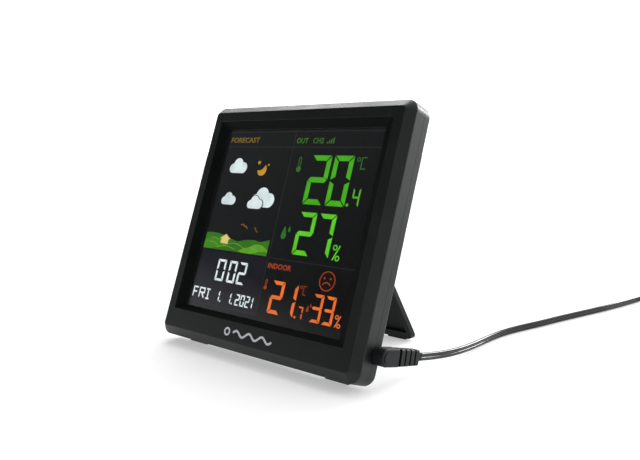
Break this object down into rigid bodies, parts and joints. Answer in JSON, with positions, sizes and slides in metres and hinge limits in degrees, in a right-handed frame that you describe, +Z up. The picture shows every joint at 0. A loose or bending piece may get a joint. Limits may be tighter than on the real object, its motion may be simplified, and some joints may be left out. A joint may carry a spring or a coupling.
{
  "type": "weather station",
  "caption": "Leaning square desk console with a colour display, fold-out rear stand, snooze bar, rear keys and a power lead to a plug-in adapter.",
  "frame": {"origin": "on the table, at the middle of the footprint of the console with its stand open", "axes": "+Z up; the display faces -Y and leans back; +X to the right of someone who reads the display"},
  "size_m": [0.2428, 0.3411, 0.1305],
  "materials": {
    "case_black": "fine grained matt black",
    "stand_black": "matt black",
    "key_black": "smooth matt black",
    "foot_rubber": "matt black rubber",
    "clear_pane": "clear acrylic",
    "display": "colour LCD, lit from behind",
    "light_sheet": "milky film",
    "light_acrylic": "clear acrylic",
    "tray_white": "white moulding",
    "board_green": "solder mask",
    "chip_black": "moulded resin",
    "can_metal": "satin can",
    "steel": "zinc plated",
    "nickel": "nickel plated",
    "zebra_rubber": "elastomer",
    "plug_black": "moulded soft PVC",
    "lead_black": "satin PVC",
    "adapter_black": "fine grained matt black"
  },
  "bodies": {
    "root": {"front_bezel": "case_black", "display_window": "clear_pane", "lcd_panel": "display", "diffuser_sheet": "light_sheet", "light_guide": "light_acrylic", "reflector_sheet": "light_sheet", "led_strip": "board_green", "display_tray": "tray_white", "zebra_strip": "zebra_rubber", "main_board": "board_green", "controller_chip": "chip_black", "board_capacitors": "can_metal", "radio_module": "board_green", "antenna": "steel", "buzzer": "chip_black", "climate_sensor": "board_green", "key_switches": "chip_black", "snooze_switch": "chip_black", "dc_jack": "chip_black", "case_screws": "steel", "board_screws": "steel", "rear_cover": "case_black", "coin_cell": "nickel", "cell_contacts": "nickel", "stand_pin": "steel", "case_feet": "foot_rubber", "plug_body": "plug_black", "plug_strain_relief": "plug_black", "plug_barrel": "nickel", "cord_tube": "lead_black", "cord_tail": "lead_black", "cord_coil": "lead_black", "coil_tie": "key_black", "adapter_base": "adapter_black", "adapter_lid": "adapter_black", "adapter_strain_relief": "plug_black", "adapter_nose": "adapter_black", "adapter_pins": "nickel"},
    "stand": {"kickstand": "stand_black", "stand_pads": "foot_rubber"},
    "snooze": {"snooze_button": "key_black"},
    "cell_door": {"battery_door": "key_black"},
    "light_key": {"key_light": "key_black"},
    "alarm_key": {"key_alarm": "key_black"},
    "channel_key": {"key_channel": "key_black"},
    "down_key": {"key_down": "key_black"},
    "up_key": {"key_up": "key_black"},
    "set_key": {"key_set": "key_black"}
  },
  "joints": [
    {"name": "stand_fold", "type": "hinge", "parent": "root", "child": "stand", "pos_m": [0, 0.00626, 0.09511], "axis": [1, 0, 0], "range_deg": [-42.4, 0]},
    {"name": "snooze_press", "type": "slide", "parent": "root", "child": "snooze", "axis": [0, -0.3371, -0.9415], "range_m": [0, 0.001], "stiffness_N_per_m": 1200, "springref_m": -0.0004},
    {"name": "cell_door_turn", "type": "hinge", "parent": "root", "child": "cell_door", "pos_m": [-0.0418, -0.00038, 0.07359], "axis": [0, 0.9415, -0.3371], "range_deg": [0, 30]},
    {"name": "light_press", "type": "slide", "parent": "root", "child": "light_key", "axis": [0, -0.9415, 0.3371], "range_m": [0, 0.0008], "stiffness_N_per_m": 1500, "springref_m": -0.0003},
    {"name": "alarm_press", "type": "slide", "parent": "root", "child": "alarm_key", "axis": [0, -0.9415, 0.3371], "range_m": [0, 0.0008], "stiffness_N_per_m": 1500, "springref_m": -0.0003},
    {"name": "channel_press", "type": "slide", "parent": "root", "child": "channel_key", "axis": [0, -0.9415, 0.3371], "range_m": [0, 0.0008], "stiffness_N_per_m": 1500, "springref_m": -0.0003},
    {"name": "down_press", "type": "slide", "parent": "root", "child": "down_key", "axis": [0, -0.9415, 0.3371], "range_m": [0, 0.0008], "stiffness_N_per_m": 1500, "springref_m": -0.0003},
    {"name": "up_press", "type": "slide", "parent": "root", "child": "up_key", "axis": [0, -0.9415, 0.3371], "range_m": [0, 0.0008], "stiffness_N_per_m": 1500, "springref_m": -0.0003},
    {"name": "set_press", "type": "slide", "parent": "root", "child": "set_key", "axis": [0, -0.9415, 0.3371], "range_m": [0, 0.0008], "stiffness_N_per_m": 1500, "springref_m": -0.0003}
  ]
}
